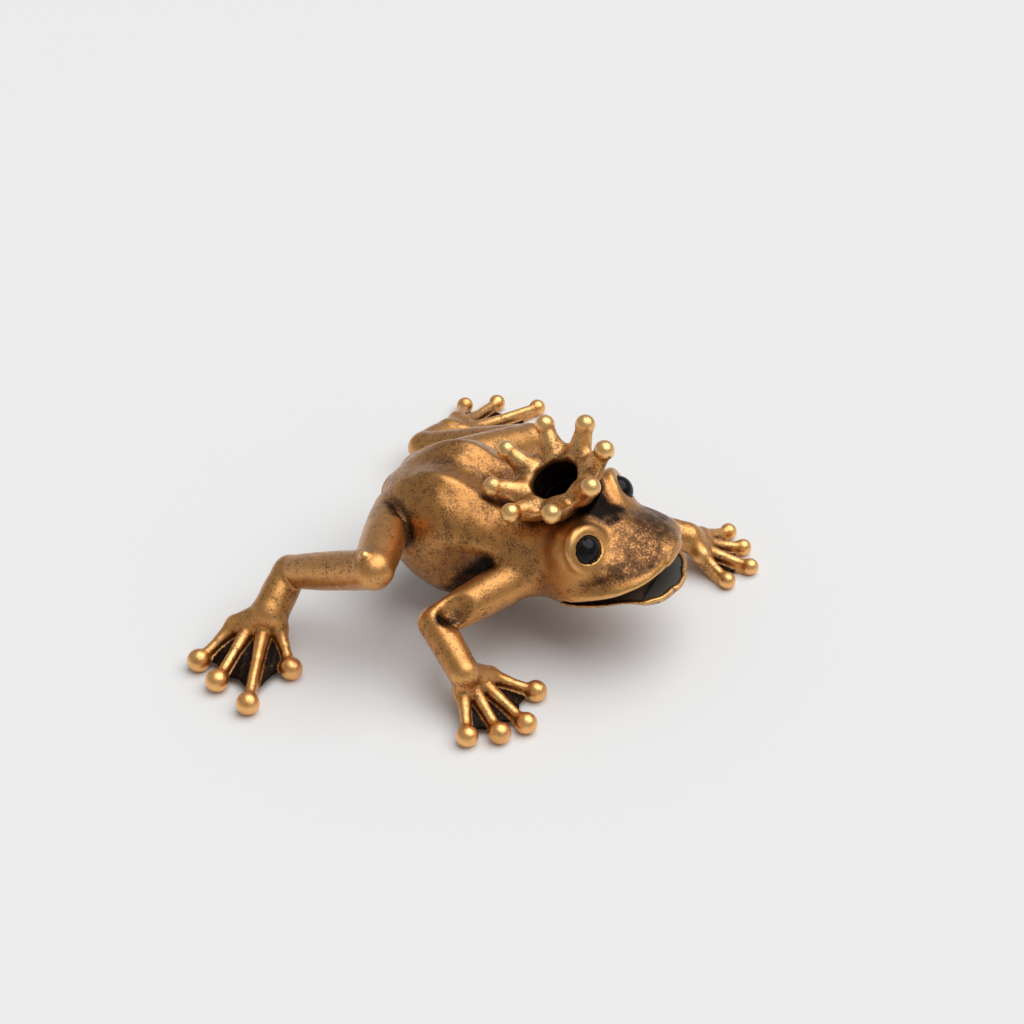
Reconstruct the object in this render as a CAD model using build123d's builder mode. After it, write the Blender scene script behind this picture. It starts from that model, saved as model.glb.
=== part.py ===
from build123d import *
from math import copysign, cos, exp, pi, radians, sin
from typing import NamedTuple
import os

# Cast bronze frog with a crown, crawling. Millimetres, +Z up, nose towards -Y, the frog's left towards +X.
# Places below are measured from the floor under the frog's middle plane. The part's own origin is worked
# out from the toes, at the middle of the floor that the frog covers.


class Section(NamedTuple):
    """One cross-section of the trunk and head, square to the frog's length."""

    y: float
    half_width: float
    top: float
    widest: float
    underside: float
    groove: float
    roof: float


class Leg(NamedTuple):
    """One leg: its joints from the spigot's end outwards, its outer knuckles and its toe tips."""

    joints: tuple
    radii: tuple
    swell: float
    knuckles: tuple
    toes: tuple
    toe_ball: float


# Trunk and head, from the tail bone to the lips
TAIL = Section(71.0, 5.0, 34.5, 29.5, 24.0, 0.0, 1.0)
RUMP = Section(67.0, 13.0, 39.5, 29.0, 17.5, 0.4, 1.0)
LOIN = Section(60.0, 18.5, 44.8, 28.5, 12.0, 1.5, 0.95)
HUMP = Section(51.0, 21.3, 47.8, 28.0, 7.0, 2.2, 0.9)
WAIST = Section(38.0, 20.2, 43.6, 26.5, 6.5, 1.8, 0.9)
SHOULDERS = Section(27.0, 18.4, 40.0, 26.5, 10.5, 0.6, 1.0)
NECK = Section(16.0, 18.8, 41.0, 26.5, 15.0, 0.0, 1.15)
CHEEKS = Section(8.0, 21.3, 43.5, 26.0, 17.5, 0.0, 1.3)
BROW = Section(0.0, 21.0, 41.2, 28.0, 19.0, 0.0, 1.4)
NOSE = Section(-9.0, 17.4, 38.6, 30.5, 20.5, 0.0, 1.4)
MUZZLE = Section(-14.0, 11.6, 37.2, 32.0, 23.0, 0.0, 1.25)
LIP = Section(-16.8, 5.5, 36.2, 32.5, 27.5, 0.0, 1.0)
JAW_MUZZLE = Section(-15.0, 11.5, 37.0, 25.5, 20.3, 0.0, 1.25)
JAW_LIP = Section(-19.2, 7.0, 36.0, 25.0, 22.0, 0.0, 1.0)
TRUNK = (TAIL, RUMP, LOIN, HUMP, WAIST, SHOULDERS, NECK, CHEEKS, BROW, NOSE, MUZZLE, LIP)
JAW = (SHOULDERS, NECK, CHEEKS, BROW, NOSE, JAW_MUZZLE, JAW_LIP)
GROOVE_HALF_WIDTH = 7.5
RIDGE_ASIDE = 9.0
RIDGE_HALF_WIDTH = 4.0
RIDGE_SHARE = 0.45
ARMPIT_Y = 36.0
ARMPIT_HEIGHT = 20.5
ARMPIT_REACH = 9.0
ARMPIT_SHARE = 0.22
OUTLINE_POINTS = 28
SECTION_STEPS = 3

# Mouth: both lips rise from its corners towards the nose
MOUTH_CORNER_Y = 8.5
UPPER_LIP_CORNER = 23.7
UPPER_LIP_SLOPE = 0.3
UPPER_LIP_CURVE = 0.0015
LOWER_LIP_CORNER = 22.7
LOWER_LIP_SLOPE = 0.16
LOWER_LIP_CURVE = -0.003
MOUTH_REACH = 32.0
LIP_STEPS = 4
JAW_SWELL = 0.5
JAW_WALL = 2.2
JAW_HOLLOW_FRONT_Y = -13.5
JAW_HOLLOW_BACK_Y = 5.0
JAW_SPIGOT_RADIUS = 2.0
JAW_SPIGOT_LENGTH = 6.0
JAW_SPIGOT_HEIGHT = 20.6

# Eyes: glass beads in sockets under raised brows, with the middles of their rims and their gaze
RIGHT_EYE_RIM = (-14.7, 3.2, 39.2)
LEFT_EYE_RIM = (14.5, 4.0, 40.0)
RIGHT_EYE_GAZE = (-0.38, -0.77, 0.51)
LEFT_EYE_GAZE = (0.38, -0.77, 0.51)
EYE_RADIUS = 4.6
EYE_SINK = 2.2
BROW_RADIUS = 7.5
BROW_SINK = 6.3

# Crown: a flared ring of points, tilted back and to the frog's right
CROWN_RING_CENTRE = (-1.5, 20.9, 53.2)
CROWN_TILT_BACK = 18.1
CROWN_TILT_RIGHT = 18.1
CROWN_TURN = 20.3
CROWN_POINTS = 8
CROWN_RING_RADIUS = 17.0
CROWN_BALL_RADIUS = 2.9
CROWN_HEIGHT = 13.5
CROWN_BASE_RADIUS = 9.8
CROWN_WAIST_RADIUS = 9.4
CROWN_WAIST_HEIGHT = 3.0
CROWN_VALLEY_RADIUS = 12.6
CROWN_VALLEY_HEIGHT = 9.2
CROWN_BORE_RADIUS = 7.0
CROWN_BORE_RIM_HEIGHT = 8.8
CROWN_POINT_THICKNESS = 3.8
CROWN_POINT_SHARPNESS = 1.7
CROWN_STEPS_PER_POINT = 8
CROWN_BOSS_EDGE = 0.8
CROWN_BOSS_DEPTH = 14.0
HEAD_BORE_DEPTH = 6.0

# Fits between the castings
WELD_GAP = 0.15
SPIGOT_CLEARANCE = 0.05
SPIGOT_END_ROOM = 0.3
BEAD_CLEARANCE = 0.1
LEG_SPIGOT_RADIUS = 3.4

# Feet: palms fan out to their knuckles, toes end in balls with small flats on the floor, webs lie between
KNUCKLE_RADIUS = 2.7
FAN_TIP = 1.2
FAN_TIP_SHARE = 0.6
BALL_FLAT_DEPTH = 0.35
TOE_ROOT_RADIUS = 2.5
TOE_NECK_RADIUS = 1.7
WEB_REACH = 0.8
WEB_HOLLOW = 0.12
WEB_DROP = 1.9
WEB_THICKNESS = 1.4

# Turned forms have flat facets
LIMB_SIDES = 16
TOE_SIDES = 10
BEAD_SIDES = 20
BALL_BANDS = 7

# The legs, each with its hip or shoulder spigot first
LEGS = {
    "right_hind_leg": Leg(
        joints=((-9.0, 62.5, 33.0), (-43.0, 55.0, 37.0), (-33.5, 87.0, 19.5), (-44.5, 88.5, 12.0)),
        radii=(7.8, 5.5, 5.0, 5.6),
        swell=0.3,
        knuckles=((-48.9, 97.4, 8.6), (-45.7, 85.0, 8.6)),
        toes=((-61.2, 103.0), (-67.0, 94.4), (-72.5, 82.1), (-54.4, 77.4)),
        toe_ball=3.4,
    ),
    "left_hind_leg": Leg(
        joints=((9.0, 61.5, 31.0), (43.0, 44.5, 25.0), (48.5, 81.5, 8.5), (61.0, 78.5, 7.0)),
        radii=(7.8, 5.7, 4.6, 4.0),
        swell=0.3,
        knuckles=((68.8, 81.0, 6.0), (63.5, 70.6, 6.0)),
        toes=((81.0, 81.9), (86.3, 73.3), (88.7, 60.7), (73.0, 54.0)),
        toe_ball=2.6,
    ),
    "right_foreleg": Leg(
        joints=((-8.7, 19.3, 25.4), (-37.4, 40.2, 18.6), (-47.8, 27.2, 13.0)),
        radii=(6.6, 5.2, 4.4),
        swell=0.2,
        knuckles=((-50.2, 26.4, 7.6), (-40.6, 22.4, 7.6)),
        toes=((-61.4, 20.4), (-56.8, 12.5), (-50.2, 7.4), (-36.6, 10.0)),
        toe_ball=3.2,
    ),
    "left_foreleg": Leg(
        joints=((7.8, 24.8, 26.2), (31.0, 10.0, 13.5), (36.8, -8.0, 9.5)),
        radii=(6.6, 5.2, 4.4),
        swell=0.2,
        knuckles=((42.6, -10.2, 6.4), (34.2, -13.4, 6.4)),
        toes=((52.6, -15.3), (47.1, -21.9), (39.4, -26.8), (30.7, -22.8)),
        toe_ball=2.6,
    ),
}

# The middle of the floor that the toes cover, and a length past the whole frog
TIPS = [(x, y, leg.toe_ball) for leg in LEGS.values() for x, y in leg.toes]
CENTRE_X = (min(x - r for x, y, r in TIPS) + max(x + r for x, y, r in TIPS)) / 2
CENTRE_Y = (min(y - r for x, y, r in TIPS) + max(y + r for x, y, r in TIPS)) / 2
REACH = max(y for x, y, r in TIPS) - min(y for x, y, r in TIPS)


def place(x, y, z):
    """A point of the frog, from its middle plane to the part's own origin."""
    return Vector(x - CENTRE_X, y - CENTRE_Y, z)


def skin(rings, looped=False):
    """Solid whose flat facets join each ring of points to the next. A loop of rings has no end faces."""
    pairs = list(zip(rings, rings[1:])) + ([(rings[-1], rings[0])] if looped else [])
    facets = []
    for ring, following in pairs:
        for one in range(len(ring)):
            two = (one + 1) % len(ring)
            facets.append(Face(Wire.make_polygon([ring[one], ring[two], following[two]])))
            facets.append(Face(Wire.make_polygon([ring[one], following[two], following[one]])))
    if not looped:
        facets += [Face(Wire.make_polygon(ring)) for ring in (rings[0], rings[-1])]
    return Solid(Shell(facets))


def circle(centre, plane, radius, sides):
    """Ring of points about a centre, in the directions of a plane."""
    turns = [2 * pi * side / sides for side in range(sides)]
    return [centre + (plane.x_dir * cos(turn) + plane.y_dir * sin(turn)) * radius for turn in turns]


def turned(start, along, outline, sides):
    """Solid turned about a line, from an outline of distances along it and radii."""
    plane = Plane(origin=start, z_dir=along)
    return skin([circle(start + plane.z_dir * far, plane, radius, sides) for far, radius in outline])


def ball_outline(radius, at=0.0, neck=0.0):
    """Distances and radii of a ball, from where its neck has the given radius to its far end."""
    turns = [pi * (band + 0.5) / BALL_BANDS for band in range(BALL_BANDS)]
    bands = [(at - radius * cos(turn), radius * sin(turn)) for turn in turns]
    return [(far, wide) for far, wide in bands if far > at or wide > neck]


def bone(start, end, start_radius, end_radius, swell, haunch):
    """Stretch of limb between two joints, rounded at the far one and, on a haunch, at both."""
    run = end - start
    middle_radius = (start_radius + end_radius) / 2 + swell
    half = BALL_BANDS // 2
    outline = ball_outline(start_radius)[:half] if haunch else []
    outline += [(0, start_radius), (run.length / 2, middle_radius), (run.length, end_radius)]
    outline += ball_outline(end_radius, run.length)[-half:]
    return turned(start, run, outline, LIMB_SIDES)


def fan(wrist, wrist_radius, first, last):
    """Palm that widens and flattens from the wrist to its row of knuckles."""
    along = (first + last) * 0.5 - wrist
    across = (last - first).normalized()
    upright = along.cross(across).normalized()
    knuckles_half = (last - first).length / 2 + KNUCKLE_RADIUS
    tip = 1 + FAN_TIP / along.length
    outline = (
        (0, wrist_radius, wrist_radius),
        (0.5, (wrist_radius + knuckles_half) / 2, (wrist_radius + KNUCKLE_RADIUS) / 2),
        (1, knuckles_half, KNUCKLE_RADIUS),
        (tip, knuckles_half * FAN_TIP_SHARE, KNUCKLE_RADIUS * FAN_TIP_SHARE),
    )
    turns = [2 * pi * side / LIMB_SIDES for side in range(LIMB_SIDES)]
    rings = []
    for far, wide, high in outline:
        centre = wrist + along * far
        rings.append([centre + across * (wide * cos(turn)) + upright * (high * sin(turn)) for turn in turns])
    return skin(rings)


def toe(root, tip, ball_radius):
    """Tapered toe with its ball."""
    run = tip - root
    outline = [(0, TOE_ROOT_RADIUS)] + ball_outline(ball_radius, run.length, TOE_NECK_RADIUS)
    return turned(root, run, outline, TOE_SIDES)


def web(one, other):
    """Sunken skin between two toes, in two halves that draw in at the free edge."""
    drop, half = Vector(0, 0, -WEB_DROP), Vector(0, 0, WEB_THICKNESS / 2)
    middle = [(start + end) * 0.5 for start, end in zip(one, other)]
    lines = []
    for (root, tip), reach in ((one, WEB_REACH), (middle, WEB_REACH - WEB_HOLLOW), (other, WEB_REACH)):
        lines.append((root + drop, root + drop + (tip - root) * reach))
    halves = []
    for line, beside in zip(lines, lines[1:]):
        halves.append(skin([[a + half, b + half, b - half, a - half] for a, b in zip(line, beside)]))
    return halves


def eased(before, one, two, after, share):
    """Smooth step from one value to the next, led by the values on both sides."""
    bend = 2 * before - 5 * one + 4 * two - after + share * (3 * (one - two) + after - before)
    return one + share / 2 * (two - before + share * bend)


def smooth_sections(named):
    """Named sections with smooth ones between them."""
    ends = (named[0], *named, named[-1])
    sections = []
    for index in range(len(named) - 1):
        for step in range(SECTION_STEPS):
            share = step / SECTION_STEPS
            sections.append(Section(*(eased(*values, share) for values in zip(*ends[index : index + 4]))))
    return sections + [named[-1]]


def trunk_ring(section, grow=0.0):
    """Outline of one section, wider by grow, with the back's two ridges and the hollows behind the arms."""
    flank = section.half_width + grow
    above = section.top - section.widest + grow
    below = section.widest - section.underside + grow
    ring = []
    for step in range(OUTLINE_POINTS):
        turn = 2 * pi * step / OUTLINE_POINTS
        aside, rise = cos(turn), sin(turn)
        if rise > 0:
            aside = copysign(abs(aside) ** section.roof, aside)
            rise = rise**section.roof
        across, height = flank * aside, (above if rise > 0 else below) * rise
        valley = max(1 - abs(across) / GROOVE_HALF_WIDTH, 0)
        ridge = max(1 - abs(abs(across) - RIDGE_ASIDE) / RIDGE_HALF_WIDTH, 0)
        height += section.groove * max(rise, 0) * (RIDGE_SHARE * ridge - valley)
        away = Vector(section.y - ARMPIT_Y, section.widest + height - ARMPIT_HEIGHT).length / ARMPIT_REACH
        across *= 1 - ARMPIT_SHARE * exp(-away * away)
        ring.append(place(across, section.y, section.widest + height))
    return ring


def crown_ring(valley_radius, point_radius, valley_height, point_height):
    """Ring of the crown that swings out from its valleys to its points."""
    ring = []
    for step in range(CROWN_POINTS * CROWN_STEPS_PER_POINT):
        turn = 2 * pi * step / (CROWN_POINTS * CROWN_STEPS_PER_POINT)
        peak = (0.5 + 0.5 * cos(CROWN_POINTS * turn)) ** CROWN_POINT_SHARPNESS
        radius = valley_radius + (point_radius - valley_radius) * peak
        height = valley_height + (point_height - valley_height) * peak
        turn += radians(CROWN_TURN)
        outwards = crown_seat.x_dir * cos(turn) + crown_seat.y_dir * sin(turn)
        ring.append(crown_seat.origin + outwards * radius + crown_seat.z_dir * height)
    return ring


def below_lip(corner_height, slope, curve):
    """Block of all that lies below a lip, in front of the mouth's corners."""
    ahead = [MOUTH_REACH * step / LIP_STEPS for step in range(LIP_STEPS + 1)]
    lip = [(MOUTH_CORNER_Y - far, corner_height + slope * far + curve * far * far) for far in ahead]
    with BuildPart() as block:
        with BuildSketch(Plane(origin=place(0, 0, 0), x_dir=(0, 1, 0), z_dir=(1, 0, 0))):
            with BuildLine():
                Polyline(*lip, (MOUTH_CORNER_Y - MOUTH_REACH, -REACH), (MOUTH_CORNER_Y, -REACH), close=True)
            make_face()
        extrude(amount=REACH, both=True)
    return block.part


def rod(start, end, radius):
    """Round rod between two points."""
    with BuildPart() as bar:
        with BuildSketch(Plane(origin=start, z_dir=end - start)):
            Circle(radius)
        extrude(amount=(end - start).length)
    return bar.part


# Seats shared by the castings: the crown's plane, the eyes, and the spigots of the legs and the jaw
crown_ring_plane = Plane(origin=place(*CROWN_RING_CENTRE)).rotated((-CROWN_TILT_BACK, -CROWN_TILT_RIGHT, 0))
crown_seat = crown_ring_plane.offset(-CROWN_HEIGHT)
eyes = {
    "right_eye": (place(*RIGHT_EYE_RIM), Vector(*RIGHT_EYE_GAZE).normalized()),
    "left_eye": (place(*LEFT_EYE_RIM), Vector(*LEFT_EYE_GAZE).normalized()),
}
jaw_seat = place(0, MOUTH_CORNER_Y, JAW_SPIGOT_HEIGHT)
jaw_spigot_end = jaw_seat + Vector(0, JAW_SPIGOT_LENGTH, 0)
jaw_socket_end = jaw_spigot_end + Vector(0, SPIGOT_END_ROOM, 0)
sections = smooth_sections(TRUNK)
jaw_sections = smooth_sections(JAW)
trunk = skin([trunk_ring(section) for section in sections])
weld_face = skin([trunk_ring(section, WELD_GAP) for section in sections])
os.makedirs("parts", exist_ok=True)

# Body casting: trunk, skull and brows, cut for the mouth, the eyes, the crown and the spigots
with BuildPart() as body_casting:
    add(trunk)
    for rim, gaze in eyes.values():
        add(turned(rim - gaze * BROW_SINK, gaze, ball_outline(BROW_RADIUS), BEAD_SIDES))
    boss_foot = crown_seat.origin - crown_seat.z_dir * CROWN_BOSS_DEPTH
    boss_radius = CROWN_BASE_RADIUS + CROWN_BOSS_EDGE
    boss = [(0, boss_radius), (CROWN_BOSS_DEPTH, boss_radius)]
    add(turned(boss_foot, crown_seat.z_dir, boss, BEAD_SIDES))
    add(below_lip(UPPER_LIP_CORNER, UPPER_LIP_SLOPE, UPPER_LIP_CURVE), mode=Mode.SUBTRACT)
    for rim, gaze in eyes.values():
        socket = ball_outline(EYE_RADIUS + BEAD_CLEARANCE)
        add(turned(rim - gaze * EYE_SINK, gaze, socket, BEAD_SIDES), mode=Mode.SUBTRACT)
    with BuildSketch(crown_seat):
        Circle(CROWN_BASE_RADIUS + SPIGOT_CLEARANCE)
    extrude(amount=CROWN_HEIGHT, mode=Mode.SUBTRACT)
    with BuildSketch(crown_seat):
        Circle(CROWN_BORE_RADIUS)
    extrude(amount=-HEAD_BORE_DEPTH, mode=Mode.SUBTRACT)
    for leg in LEGS.values():
        root, first = place(*leg.joints[0]), place(*leg.joints[1])
        socket_end = root + (root - first).normalized() * SPIGOT_END_ROOM
        add(rod(socket_end, first, LEG_SPIGOT_RADIUS + SPIGOT_CLEARANCE), mode=Mode.SUBTRACT)
    add(rod(jaw_seat, jaw_socket_end, JAW_SPIGOT_RADIUS + SPIGOT_CLEARANCE), mode=Mode.SUBTRACT)
body_casting.part.label = "body_casting"
export_step(body_casting.part, "parts/body_casting.step")

# Lower jaw: juts out below the muzzle, hollowed behind its filled front
hollow = [s for s in jaw_sections if JAW_HOLLOW_FRONT_Y <= s.y <= JAW_HOLLOW_BACK_Y]
with BuildPart() as lower_jaw:
    add(skin([trunk_ring(section, JAW_SWELL) for section in jaw_sections]))
    add(below_lip(LOWER_LIP_CORNER, LOWER_LIP_SLOPE, LOWER_LIP_CURVE), mode=Mode.INTERSECT)
    add(skin([trunk_ring(section, JAW_SWELL - JAW_WALL) for section in hollow]), mode=Mode.SUBTRACT)
    add(rod(jaw_seat, jaw_spigot_end, JAW_SPIGOT_RADIUS))
lower_jaw.part.label = "lower_jaw"
export_step(lower_jaw.part, "parts/lower_jaw.step")

# Eyes: glass beads
for name, (rim, gaze) in eyes.items():
    with BuildPart() as bead:
        add(turned(rim - gaze * EYE_SINK, gaze, ball_outline(EYE_RADIUS), BEAD_SIDES))
    bead.part.label = name
    export_step(bead.part, f"parts/{name}.step")

# Crown: a ring that flares from its waist into eight points, each with a ball
with BuildPart() as crown:
    half = CROWN_POINT_THICKNESS / 2
    point = CROWN_RING_RADIUS
    rings = [
        crown_ring(CROWN_BASE_RADIUS, CROWN_BASE_RADIUS, 0, 0),
        crown_ring(CROWN_WAIST_RADIUS, CROWN_WAIST_RADIUS, CROWN_WAIST_HEIGHT, CROWN_WAIST_HEIGHT),
        crown_ring(CROWN_VALLEY_RADIUS, point, CROWN_VALLEY_HEIGHT - half, CROWN_HEIGHT - half),
        crown_ring(CROWN_VALLEY_RADIUS, point, CROWN_VALLEY_HEIGHT, CROWN_HEIGHT + half),
        crown_ring(CROWN_BORE_RADIUS, CROWN_BORE_RADIUS, CROWN_BORE_RIM_HEIGHT, CROWN_BORE_RIM_HEIGHT),
        crown_ring(CROWN_BORE_RADIUS, CROWN_BORE_RADIUS, 0, 0),
    ]
    add(skin(rings, looped=True))
    for step in range(CROWN_POINTS):
        turn = radians(CROWN_TURN) + 2 * pi * step / CROWN_POINTS
        outwards = crown_seat.x_dir * cos(turn) + crown_seat.y_dir * sin(turn)
        tip = crown_ring_plane.origin + outwards * CROWN_RING_RADIUS
        add(turned(tip, outwards, ball_outline(CROWN_BALL_RADIUS), TOE_SIDES))
crown.part.label = "crown"
export_step(crown.part, "parts/crown.step")

# Legs: bones, palms and toes with webs, fitted to the trunk and set on a spigot, with flats under the toes
for name, leg in LEGS.items():
    joints = [place(*joint) for joint in leg.joints]
    tips = [place(x, y, leg.toe_ball - BALL_FLAT_DEPTH) for x, y in leg.toes]
    first, last = (place(*knuckle) for knuckle in leg.knuckles)
    gaps = len(tips) - 1
    toes = [(first + (last - first) * (index / gaps), tip) for index, tip in enumerate(tips)]
    runs = zip(joints, joints[1:], leg.radii, leg.radii[1:])
    pieces = [bone(*run, leg.swell, haunch=index == 0) for index, run in enumerate(runs)]
    pieces.append(fan(joints[-1], leg.radii[-1], first, last))
    pieces += [toe(*line, leg.toe_ball) for line in toes]
    pieces += [half for pair in zip(toes, toes[1:]) for half in web(*pair)]
    with BuildPart() as limb:
        add(pieces)
        add(weld_face, mode=Mode.SUBTRACT)
        add(rod(joints[0], joints[1], LEG_SPIGOT_RADIUS))
        with Locations(place(0, 0, -REACH)):
            Box(4 * REACH, 4 * REACH, 2 * REACH, mode=Mode.SUBTRACT)
    limb.part.label = name
    export_step(limb.part, f"parts/{name}.step")
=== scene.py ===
"""Crowned bronze frog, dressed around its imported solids.

Forms are distances in millimetres, measured from the floor under the frog's middle plane, as in the solids:
+Z up, nose towards -Y, the frog's left towards +X. Each piece is the skin of its form on a fine grid.
"""

from math import cos, pi, radians, sin
from typing import NamedTuple

import bpy
import numpy as np
from mathutils import Matrix, Vector


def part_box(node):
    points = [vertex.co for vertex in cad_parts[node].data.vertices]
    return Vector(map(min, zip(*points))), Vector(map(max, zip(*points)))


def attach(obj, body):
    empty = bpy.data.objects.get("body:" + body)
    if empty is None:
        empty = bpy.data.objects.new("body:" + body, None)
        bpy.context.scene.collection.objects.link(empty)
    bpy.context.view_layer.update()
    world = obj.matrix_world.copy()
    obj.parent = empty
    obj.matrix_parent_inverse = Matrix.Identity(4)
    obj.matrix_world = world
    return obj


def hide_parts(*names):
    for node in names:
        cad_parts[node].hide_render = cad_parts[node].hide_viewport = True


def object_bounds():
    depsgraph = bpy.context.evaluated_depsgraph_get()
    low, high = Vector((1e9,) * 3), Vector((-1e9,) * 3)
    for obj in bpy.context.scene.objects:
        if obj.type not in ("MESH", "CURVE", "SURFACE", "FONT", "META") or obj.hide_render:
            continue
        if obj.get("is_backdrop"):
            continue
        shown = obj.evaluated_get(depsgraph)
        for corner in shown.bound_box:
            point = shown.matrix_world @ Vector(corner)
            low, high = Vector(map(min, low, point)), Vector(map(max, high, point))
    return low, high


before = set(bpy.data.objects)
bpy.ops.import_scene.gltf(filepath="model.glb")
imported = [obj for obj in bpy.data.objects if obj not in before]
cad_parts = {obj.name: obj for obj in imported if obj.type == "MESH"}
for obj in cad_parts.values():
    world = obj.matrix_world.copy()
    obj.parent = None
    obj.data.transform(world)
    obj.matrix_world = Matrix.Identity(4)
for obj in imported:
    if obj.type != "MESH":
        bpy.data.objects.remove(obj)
cad_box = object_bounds()

MM = 0.001


class Section(NamedTuple):
    """One cross-section of the trunk and head, square to the frog's length."""

    y: float
    half_width: float
    top: float
    widest: float
    underside: float
    groove: float
    roof: float


class Leg(NamedTuple):
    """A leg: its joints from the root outwards, outer knuckles, toe tips and any stub on its knee."""

    joints: tuple
    radii: tuple
    knuckles: tuple
    toes: tuple
    toe_ball: float
    fillet: float
    swell: float
    stub: tuple = ()


class DarkLine(NamedTuple):
    """Darkening along a line, patina on some and painted shade on others: where it is full, where it ends,
    and how dark it is.
    """

    start: tuple
    end: tuple
    full: float
    reach: float
    level: float


# Trunk and head, from the lips to the tail bone
TRUNK = (
    Section(-16.4, 5.5, 36.2, 32.5, 27.5, 0.0, 1.0),
    Section(-14.0, 11.6, 37.2, 32.0, 23.0, 0.0, 1.25),
    Section(-9.0, 17.4, 38.6, 30.5, 20.5, 0.0, 1.4),
    Section(0.0, 21.0, 41.2, 28.0, 19.0, 0.0, 1.4),
    Section(8.0, 21.3, 43.5, 26.0, 17.5, 0.0, 1.3),
    Section(16.0, 18.8, 41.0, 26.5, 15.0, 0.0, 1.15),
    Section(27.0, 18.4, 40.0, 26.5, 10.5, 0.6, 1.0),
    Section(38.0, 20.2, 43.6, 26.5, 6.5, 1.8, 0.9),
    Section(51.0, 21.3, 47.8, 28.0, 7.0, 2.2, 0.9),
    Section(60.0, 18.5, 44.8, 28.5, 12.0, 1.5, 0.95),
    Section(67.0, 13.0, 39.5, 29.0, 17.5, 0.4, 1.0),
    Section(71.0, 5.0, 34.5, 29.5, 24.0, 0.0, 1.0),
)
JAW = (
    Section(-18.7, 4.0, 36.0, 25.0, 22.4, 0.0, 1.0),
    Section(-17.6, 7.8, 36.4, 25.2, 21.6, 0.0, 1.1),
    Section(-14.5, 12.0, 37.1, 25.5, 20.4, 0.0, 1.25),
    *TRUNK[2:],
)
TRUNK_AXIS = np.array([[0.0, -10.0, 28.0], [0.0, 60.0, 28.0]])
TRUNK_REACH = 26.0
FOLD_SHARPNESS = 1.5
GROOVE_HALF_WIDTH = 7.5
RIDGE_ASIDE = 9.0
RIDGE_HALF_WIDTH = 4.0
RIDGE_SHARE = 0.45
ARMPIT_Y = 36.0
ARMPIT_HEIGHT = 20.5
ARMPIT_REACH = 9.0
ARMPIT_SHARE = 0.22
TAIL_ROUND = 1.2
LIP_ROUND = 1.0
OUTLINE_SCALE = 15.0
OUTLINE_LEVEL = 0.94
OUTLINE_SOFTNESS = 0.05
BELLY_POWER = 2.3
SLOPE_STEP = 0.2
LEAST_SLOPE = 0.4
BODY_UNEVENNESS = 0.1
LUMP_WAVES = np.array([(0.71, 0.0, 0.4), (-0.3, 0.63, 0.0), (0.0, 0.5, 0.55)])

# Mouth
MOUTH_CORNER_Y = 8.5
UPPER_LIP_CORNER = 23.7
UPPER_LIP_SLOPE = 0.3
UPPER_LIP_CURVE = 0.0015
LOWER_LIP_CORNER = 22.7
LOWER_LIP_SLOPE = 0.16
LOWER_LIP_CURVE = -0.003
LIP_EDGE = 0.6
LIP_BEAD = 0.5
LIP_BEAD_HEIGHT = 1.0
LIP_BEAD_WIDTH = 1.3
LIP_BEAD_FADE = 3.0
JAW_SWELL = 0.5
JAW_WALL = 1.6
JAW_HOLLOW_FRONT_Y = -12.0
JAW_HOLLOW_DEPTH = 6.0
JAW_HOLLOW_EDGE = 0.3
JAW_BEHIND_CORNER = 1.0
JAW_ROUNDS = 3
LINING_DEPTH = 0.5
LINING_EDGE = 1.4
LINING_FADE = 0.3
LINING_LOWEST = 20.0

# Eyes
RIGHT_EYE_RIM = np.array([-14.7, 3.2, 39.2])
LEFT_EYE_RIM = np.array([14.5, 4.0, 40.0])
RIGHT_EYE_GAZE = np.array([-0.38, -0.77, 0.51])
LEFT_EYE_GAZE = np.array([0.38, -0.77, 0.51])
EYE_RADIUS = 4.6
EYE_SINK = 2.2
BROW_RADIUS = 7.5
BROW_SINK = 6.3
BROW_FILLET = 5.0
LID_RADIUS = 5.8
LID_THICKNESS = 2.4
LID_SINK = 1.3
LID_MIDDLE = 1.0
LID_FILLET = 2.5
SOCKET_OVERLAP = 0.12
SOCKET_EDGE = 0.8
BEAD_BACK = 3.4
BEAD_RINGS = 40
BEAD_SIDES = 64

# Crown
CROWN_RING_CENTRE = np.array([-1.5, 20.9, 53.2])
CROWN_TILT = radians(18.1)
CROWN_TURN = radians(20.3)
CROWN_POINTS = 8
CROWN_RING_RADIUS = 17.0
CROWN_BALL_RADIUS = 2.9
CROWN_HEIGHT = 13.5
CROWN_BASE_RADIUS = 9.8
CROWN_RIM_RADIUS = 12.8
CROWN_RIM_HEIGHT = 9.2
CROWN_RIM_EDGE = 1.5
CROWN_FLARE_POWER = 1.5
CROWN_POINT_ROOT = (10.4, 7.6)
CROWN_ROOT_RADIUS = 3.6
CROWN_NECK_RADIUS = 2.2
CROWN_POINT_FILLET = 2.4
CROWN_BALL_FILLET = 0.5
CROWN_FOOT_EDGE = 0.3
CROWN_BOSS_RADIUS = 10.6
CROWN_BOSS_DEPTH = 14.0
CROWN_BOSS_FILLET = 3.0
CROWN_SEAT_EDGE = 0.5
CROWN_BORE_RADIUS = 7.0
CROWN_BORE_EDGE = 1.2
HEAD_BORE_DEPTH = 6.0
HEAD_BORE_EDGE = 0.4
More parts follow.
